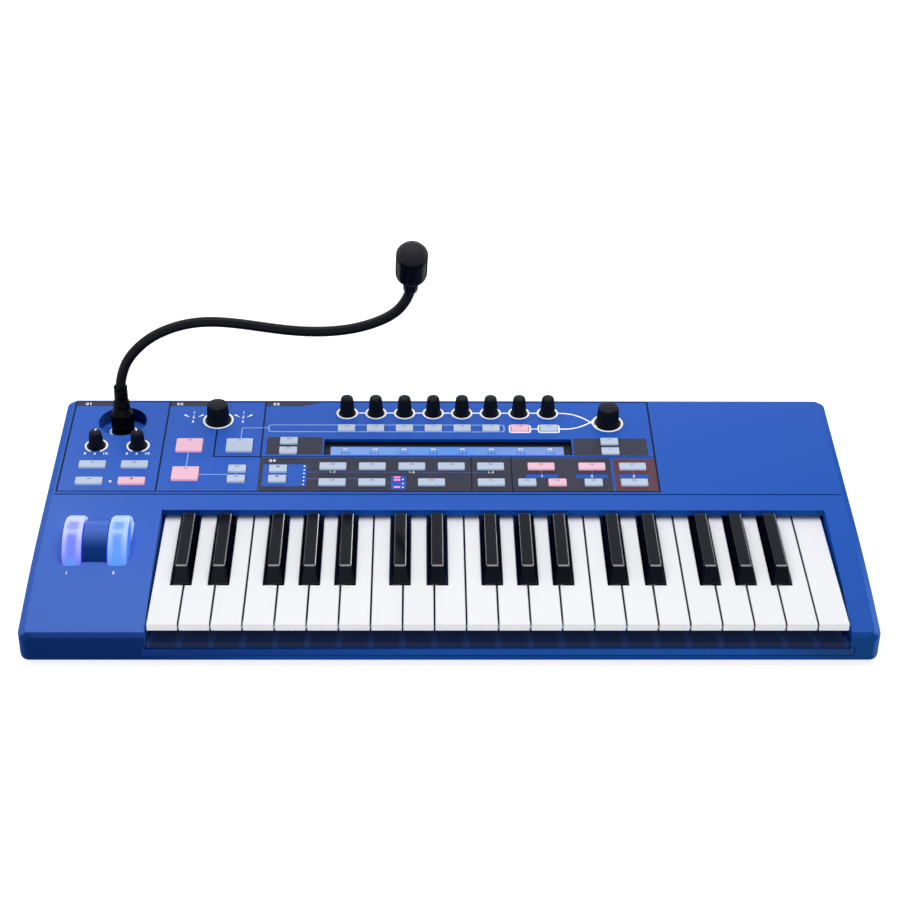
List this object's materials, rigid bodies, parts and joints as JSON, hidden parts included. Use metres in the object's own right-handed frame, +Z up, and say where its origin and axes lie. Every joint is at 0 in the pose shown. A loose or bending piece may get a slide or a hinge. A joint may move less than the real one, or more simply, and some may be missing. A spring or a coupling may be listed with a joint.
{
  "type": "virtual analog synthesizer",
  "caption": "Blue desktop virtual analog synthesizer with a mini control panel, pitch and mod wheels, full-size keys and a gooseneck vocoder microphone.",
  "frame": {"origin": "on the table plane that the feet stand on, under the middle of the case's bounding box", "axes": "+X along the keys from low to high, +Y from the player to the rear sockets, +Z up"},
  "size_m": [0.638, 0.293, 0.2348],
  "materials": {
    "case_blue": "satin",
    "key_white": "glossy",
    "key_black": "glossy",
    "knob_black": "soft touch",
    "button_silicone": "translucent satin",
    "wheel_glow": "lit from inside",
    "display_glass": "lit",
    "chassis_black": "satin",
    "socket_black": "satin",
    "mic_black": "satin",
    "neck_rubber": "matte"
  },
  "bodies": {
    "case": {"upper_case": "case_blue", "lower_case": "case_blue", "keybed_frame": "chassis_black", "display_module": "display_glass", "socket_board": "socket_black"},
    "mic_plug": {"mic_connector": "mic_black"},
    "mic_neck": {"gooseneck": "neck_rubber"},
    "mic_head": {"mic_head": "mic_black"},
    "pitch_wheel": {"pitch_wheel": "wheel_glow"},
    "mod_wheel": {"mod_wheel": "wheel_glow"},
    "buttons": {"button_pad": "button_silicone"},
    "volume_knob": {"volume_knob": "knob_black"},
    "balance_knob": {"balance_knob": "knob_black"},
    "browse_knob": {"browse_knob": "knob_black"},
    "filter_knob": {"filter_knob": "knob_black"},
    "encoder_knob_1": {"encoder_knob_1": "knob_black"},
    "encoder_knob_2": {"encoder_knob_2": "knob_black"},
    "encoder_knob_3": {"encoder_knob_3": "knob_black"},
    "encoder_knob_4": {"encoder_knob_4": "knob_black"},
    "encoder_knob_5": {"encoder_knob_5": "knob_black"},
    "encoder_knob_6": {"encoder_knob_6": "knob_black"},
    "encoder_knob_7": {"encoder_knob_7": "knob_black"},
    "encoder_knob_8": {"encoder_knob_8": "knob_black"},
    "white_key_01": {"white_key_01": "key_white"},
    "white_key_02": {"white_key_02": "key_white"},
    "white_key_03": {"white_key_03": "key_white"},
    "white_key_04": {"white_key_04": "key_white"},
    "white_key_05": {"white_key_05": "key_white"},
    "white_key_06": {"white_key_06": "key_white"},
    "white_key_07": {"white_key_07": "key_white"},
    "white_key_08": {"white_key_08": "key_white"},
    "white_key_09": {"white_key_09": "key_white"},
    "white_key_10": {"white_key_10": "key_white"},
    "white_key_11": {"white_key_11": "key_white"},
    "white_key_12": {"white_key_12": "key_white"},
    "white_key_13": {"white_key_13": "key_white"},
    "white_key_14": {"white_key_14": "key_white"},
    "white_key_15": {"white_key_15": "key_white"},
    "white_key_16": {"white_key_16": "key_white"},
    "white_key_17": {"white_key_17": "key_white"},
    "white_key_18": {"white_key_18": "key_white"},
    "white_key_19": {"white_key_19": "key_white"},
    "white_key_20": {"white_key_20": "key_white"},
    "white_key_21": {"white_key_21": "key_white"},
    "white_key_22": {"white_key_22": "key_white"},
    "black_key_01": {"black_key_01": "key_black"},
    "black_key_02": {"black_key_02": "key_black"},
    "black_key_03": {"black_key_03": "key_black"},
    "black_key_04": {"black_key_04": "key_black"},
    "black_key_05": {"black_key_05": "key_black"},
    "black_key_06": {"black_key_06": "key_black"},
    "black_key_07": {"black_key_07": "key_black"},
    "black_key_08": {"black_key_08": "key_black"},
    "black_key_09": {"black_key_09": "key_black"},
    "black_key_10": {"black_key_10": "key_black"},
    "black_key_11": {"black_key_11": "key_black"},
    "black_key_12": {"black_key_12": "key_black"},
    "black_key_13": {"black_key_13": "key_black"},
    "black_key_14": {"black_key_14": "key_black"},
    "black_key_15": {"black_key_15": "key_black"}
  },
  "joints": [
    {"name": "neck_bend", "type": "hinge", "parent": "mic_plug", "child": "mic_neck", "pos_m": [-0.26965, 0.11727, 0.08895], "axis": [0, 1, 0], "range_deg": [-25, 20]},
    {"name": "head_tilt", "type": "hinge", "parent": "mic_neck", "child": "mic_head", "pos_m": [-0.03054, 0.10416, 0.17914], "axis": [1, 0, 0], "range_deg": [-30, 30]},
    {"name": "mic_plug_lift", "type": "slide", "parent": "case", "child": "mic_plug", "axis": [0, 0.0957, 0.9954], "range_m": [0, 0.018]},
    {"name": "pitch_wheel_turn", "type": "hinge", "parent": "case", "child": "pitch_wheel", "pos_m": [-0.28775, -0.0453, 0.028], "axis": [1, 0, 0], "range_deg": [-30, 30], "stiffness_Nm_per_rad": 0.06},
    {"name": "mod_wheel_turn", "type": "hinge", "parent": "case", "child": "mod_wheel", "pos_m": [-0.25305, -0.0453, 0.028], "axis": [1, 0, 0], "range_deg": [-30, 30]},
    {"name": "button_press", "type": "slide", "parent": "case", "child": "buttons", "axis": [0, 0.053, -0.9986], "range_m": [0, 0.001], "stiffness_N_per_m": 2000, "springref_m": -0.002},
    {"name": "volume_knob_turn", "type": "hinge", "parent": "case", "child": "volume_knob", "pos_m": [-0.28725, 0.07905, 0.05039], "axis": [0, -0.053, 0.9986], "range_deg": [-150, 150]},
    {"name": "balance_knob_turn", "type": "hinge", "parent": "case", "child": "balance_knob", "pos_m": [-0.25325, 0.07905, 0.05039], "axis": [0, -0.053, 0.9986], "range_deg": [-150, 150]},
    {"name": "browse_knob_turn", "type": "hinge", "parent": "case", "child": "browse_knob", "pos_m": [-0.19055, 0.11589, 0.05234], "axis": [0, -0.053, 0.9986], "continuous": true},
    {"name": "filter_knob_turn", "type": "hinge", "parent": "case", "child": "filter_knob", "pos_m": [0.13345, 0.1123, 0.05215], "axis": [0, -0.053, 0.9986], "continuous": true},
    {"name": "encoder_knob_1_turn", "type": "hinge", "parent": "case", "child": "encoder_knob_1", "pos_m": [-0.08355, 0.12628, 0.05289], "axis": [0, -0.053, 0.9986], "continuous": true},
    {"name": "encoder_knob_2_turn", "type": "hinge", "parent": "case", "child": "encoder_knob_2", "pos_m": [-0.05961, 0.12628, 0.05289], "axis": [0, -0.053, 0.9986], "continuous": true},
    {"name": "encoder_knob_3_turn", "type": "hinge", "parent": "case", "child": "encoder_knob_3", "pos_m": [-0.03567, 0.12628, 0.05289], "axis": [0, -0.053, 0.9986], "continuous": true},
    {"name": "encoder_knob_4_turn", "type": "hinge", "parent": "case", "child": "encoder_knob_4", "pos_m": [-0.01173, 0.12628, 0.05289], "axis": [0, -0.053, 0.9986], "continuous": true},
    {"name": "encoder_knob_5_turn", "type": "hinge", "parent": "case", "child": "encoder_knob_5", "pos_m": [0.01221, 0.12628, 0.05289], "axis": [0, -0.053, 0.9986], "continuous": true},
    {"name": "encoder_knob_6_turn", "type": "hinge", "parent": "case", "child": "encoder_knob_6", "pos_m": [0.03615, 0.12628, 0.05289], "axis": [0, -0.053, 0.9986], "continuous": true},
    {"name": "encoder_knob_7_turn", "type": "hinge", "parent": "case", "child": "encoder_knob_7", "pos_m": [0.06009, 0.12628, 0.05289], "axis": [0, -0.053, 0.9986], "continuous": true},
    {"name": "encoder_knob_8_turn", "type": "hinge", "parent": "case", "child": "encoder_knob_8", "pos_m": [0.08403, 0.12628, 0.05289], "axis": [0, -0.053, 0.9986], "continuous": true},
    {"name": "white_key_01_press", "type": "hinge", "parent": "case", "child": "white_key_01", "pos_m": [-0.21206, 0.041, 0.025], "axis": [1, 0, 0], "range_deg": [0, 3.1], "stiffness_Nm_per_rad": 0.5, "springref_deg": -11.46},
    {"name": "white_key_02_press", "type": "hinge", "parent": "case", "child": "white_key_02", "pos_m": [-0.18849, 0.041, 0.025], "axis": [1, 0, 0], "range_deg": [0, 3.1], "stiffness_Nm_per_rad": 0.5, "springref_deg": -11.46},
    {"name": "white_key_03_press", "type": "hinge", "parent": "case", "child": "white_key_03", "pos_m": [-0.16492, 0.041, 0.025], "axis": [1, 0, 0], "range_deg": [0, 3.1], "stiffness_Nm_per_rad": 0.5, "springref_deg": -11.46},
    {"name": "white_key_04_press", "type": "hinge", "parent": "case", "child": "white_key_04", "pos_m": [-0.14135, 0.041, 0.025], "axis": [1, 0, 0], "range_deg": [0, 3.1], "stiffness_Nm_per_rad": 0.5, "springref_deg": -11.46},
    {"name": "white_key_05_press", "type": "hinge", "parent": "case", "child": "white_key_05", "pos_m": [-0.11778, 0.041, 0.025], "axis": [1, 0, 0], "range_deg": [0, 3.1], "stiffness_Nm_per_rad": 0.5, "springref_deg": -11.46},
    {"name": "white_key_06_press", "type": "hinge", "parent": "case", "child": "white_key_06", "pos_m": [-0.09421, 0.041, 0.025], "axis": [1, 0, 0], "range_deg": [0, 3.1], "stiffness_Nm_per_rad": 0.5, "springref_deg": -11.46},
    {"name": "white_key_07_press", "type": "hinge", "parent": "case", "child": "white_key_07", "pos_m": [-0.07064, 0.041, 0.025], "axis": [1, 0, 0], "range_deg": [0, 3.1], "stiffness_Nm_per_rad": 0.5, "springref_deg": -11.46},
    {"name": "white_key_08_press", "type": "hinge", "parent": "case", "child": "white_key_08", "pos_m": [-0.04707, 0.041, 0.025], "axis": [1, 0, 0], "range_deg": [0, 3.1], "stiffness_Nm_per_rad": 0.5, "springref_deg": -11.46},
    {"name": "white_key_09_press", "type": "hinge", "parent": "case", "child": "white_key_09", "pos_m": [-0.0235, 0.041, 0.025], "axis": [1, 0, 0], "range_deg": [0, 3.1], "stiffness_Nm_per_rad": 0.5, "springref_deg": -11.46},
    {"name": "white_key_10_press", "type": "hinge", "parent": "case", "child": "white_key_10", "pos_m": [0.00007, 0.041, 0.025], "axis": [1, 0, 0], "range_deg": [0, 3.1], "stiffness_Nm_per_rad": 0.5, "springref_deg": -11.46},
    {"name": "white_key_11_press", "type": "hinge", "parent": "case", "child": "white_key_11", "pos_m": [0.02365, 0.041, 0.025], "axis": [1, 0, 0], "range_deg": [0, 3.1], "stiffness_Nm_per_rad": 0.5, "springref_deg": -11.46},
    {"name": "white_key_12_press", "type": "hinge", "parent": "case", "child": "white_key_12", "pos_m": [0.04722, 0.041, 0.025], "axis": [1, 0, 0], "range_deg": [0, 3.1], "stiffness_Nm_per_rad": 0.5, "springref_deg": -11.46},
    {"name": "white_key_13_press", "type": "hinge", "parent": "case", "child": "white_key_13", "pos_m": [0.07079, 0.041, 0.025], "axis": [1, 0, 0], "range_deg": [0, 3.1], "stiffness_Nm_per_rad": 0.5, "springref_deg": -11.46},
    {"name": "white_key_14_press", "type": "hinge", "parent": "case", "child": "white_key_14", "pos_m": [0.09436, 0.041, 0.025], "axis": [1, 0, 0], "range_deg": [0, 3.1], "stiffness_Nm_per_rad": 0.5, "springref_deg": -11.46},
    {"name": "white_key_15_press", "type": "hinge", "parent": "case", "child": "white_key_15", "pos_m": [0.11793, 0.041, 0.025], "axis": [1, 0, 0], "range_deg": [0, 3.1], "stiffness_Nm_per_rad": 0.5, "springref_deg": -11.46},
    {"name": "white_key_16_press", "type": "hinge", "parent": "case", "child": "white_key_16", "pos_m": [0.1415, 0.041, 0.025], "axis": [1, 0, 0], "range_deg": [0, 3.1], "stiffness_Nm_per_rad": 0.5, "springref_deg": -11.46},
    {"name": "white_key_17_press", "type": "hinge", "parent": "case", "child": "white_key_17", "pos_m": [0.16507, 0.041, 0.025], "axis": [1, 0, 0], "range_deg": [0, 3.1], "stiffness_Nm_per_rad": 0.5, "springref_deg": -11.46},
    {"name": "white_key_18_press", "type": "hinge", "parent": "case", "child": "white_key_18", "pos_m": [0.18864, 0.041, 0.025], "axis": [1, 0, 0], "range_deg": [0, 3.1], "stiffness_Nm_per_rad": 0.5, "springref_deg": -11.46},
    {"name": "white_key_19_press", "type": "hinge", "parent": "case", "child": "white_key_19", "pos_m": [0.21221, 0.041, 0.025], "axis": [1, 0, 0], "range_deg": [0, 3.1], "stiffness_Nm_per_rad": 0.5, "springref_deg": -11.46},
    {"name": "white_key_20_press", "type": "hinge", "parent": "case", "child": "white_key_20", "pos_m": [0.23578, 0.041, 0.025], "axis": [1, 0, 0], "range_deg": [0, 3.1], "stiffness_Nm_per_rad": 0.5, "springref_deg": -11.46},
    {"name": "white_key_21_press", "type": "hinge", "parent": "case", "child": "white_key_21", "pos_m": [0.25936, 0.041, 0.025], "axis": [1, 0, 0], "range_deg": [0, 3.1], "stiffness_Nm_per_rad": 0.5, "springref_deg": -11.46},
    {"name": "white_key_22_press", "type": "hinge", "parent": "case", "child": "white_key_22", "pos_m": [0.28293, 0.041, 0.025], "axis": [1, 0, 0], "range_deg": [0, 3.1], "stiffness_Nm_per_rad": 0.5, "springref_deg": -11.46},
    {"name": "black_key_01_press", "type": "hinge", "parent": "case", "child": "black_key_01", "pos_m": [-0.20264, 0.041, 0.025], "axis": [1, 0, 0], "range_deg": [0, 3.1], "stiffness_Nm_per_rad": 0.5, "springref_deg": -11.46},
    {"name": "black_key_02_press", "type": "hinge", "parent": "case", "child": "black_key_02", "pos_m": [-0.17435, 0.041, 0.025], "axis": [1, 0, 0], "range_deg": [0, 3.1], "stiffness_Nm_per_rad": 0.5, "springref_deg": -11.46},
    {"name": "black_key_03_press", "type": "hinge", "parent": "case", "child": "black_key_03", "pos_m": [-0.13293, 0.041, 0.025], "axis": [1, 0, 0], "range_deg": [0, 3.1], "stiffness_Nm_per_rad": 0.5, "springref_deg": -11.46},
    {"name": "black_key_04_press", "type": "hinge", "parent": "case", "child": "black_key_04", "pos_m": [-0.106, 0.041, 0.025], "axis": [1, 0, 0], "range_deg": [0, 3.1], "stiffness_Nm_per_rad": 0.5, "springref_deg": -11.46},
    {"name": "black_key_05_press", "type": "hinge", "parent": "case", "child": "black_key_05", "pos_m": [-0.07906, 0.041, 0.025], "axis": [1, 0, 0], "range_deg": [0, 3.1], "stiffness_Nm_per_rad": 0.5, "springref_deg": -11.46},
    {"name": "black_key_06_press", "type": "hinge", "parent": "case", "child": "black_key_06", "pos_m": [-0.03764, 0.041, 0.025], "axis": [1, 0, 0], "range_deg": [0, 3.1], "stiffness_Nm_per_rad": 0.5, "springref_deg": -11.46},
    {"name": "black_key_07_press", "type": "hinge", "parent": "case", "child": "black_key_07", "pos_m": [-0.00935, 0.041, 0.025], "axis": [1, 0, 0], "range_deg": [0, 3.1], "stiffness_Nm_per_rad": 0.5, "springref_deg": -11.46},
    {"name": "black_key_08_press", "type": "hinge", "parent": "case", "child": "black_key_08", "pos_m": [0.03206, 0.041, 0.025], "axis": [1, 0, 0], "range_deg": [0, 3.1], "stiffness_Nm_per_rad": 0.5, "springref_deg": -11.46},
    {"name": "black_key_09_press", "type": "hinge", "parent": "case", "child": "black_key_09", "pos_m": [0.059, 0.041, 0.025], "axis": [1, 0, 0], "range_deg": [0, 3.1], "stiffness_Nm_per_rad": 0.5, "springref_deg": -11.46},
    {"name": "black_key_10_press", "type": "hinge", "parent": "case", "child": "black_key_10", "pos_m": [0.08594, 0.041, 0.025], "axis": [1, 0, 0], "range_deg": [0, 3.1], "stiffness_Nm_per_rad": 0.5, "springref_deg": -11.46},
    {"name": "black_key_11_press", "type": "hinge", "parent": "case", "child": "black_key_11", "pos_m": [0.12736, 0.041, 0.025], "axis": [1, 0, 0], "range_deg": [0, 3.1], "stiffness_Nm_per_rad": 0.5, "springref_deg": -11.46},
    {"name": "black_key_12_press", "type": "hinge", "parent": "case", "child": "black_key_12", "pos_m": [0.15564, 0.041, 0.025], "axis": [1, 0, 0], "range_deg": [0, 3.1], "stiffness_Nm_per_rad": 0.5, "springref_deg": -11.46},
    {"name": "black_key_13_press", "type": "hinge", "parent": "case", "child": "black_key_13", "pos_m": [0.19706, 0.041, 0.025], "axis": [1, 0, 0], "range_deg": [0, 3.1], "stiffness_Nm_per_rad": 0.5, "springref_deg": -11.46},
    {"name": "black_key_14_press", "type": "hinge", "parent": "case", "child": "black_key_14", "pos_m": [0.224, 0.041, 0.025], "axis": [1, 0, 0], "range_deg": [0, 3.1], "stiffness_Nm_per_rad": 0.5, "springref_deg": -11.46},
    {"name": "black_key_15_press", "type": "hinge", "parent": "case", "child": "black_key_15", "pos_m": [0.25094, 0.041, 0.025], "axis": [1, 0, 0], "range_deg": [0, 3.1], "stiffness_Nm_per_rad": 0.5, "springref_deg": -11.46}
  ]
}
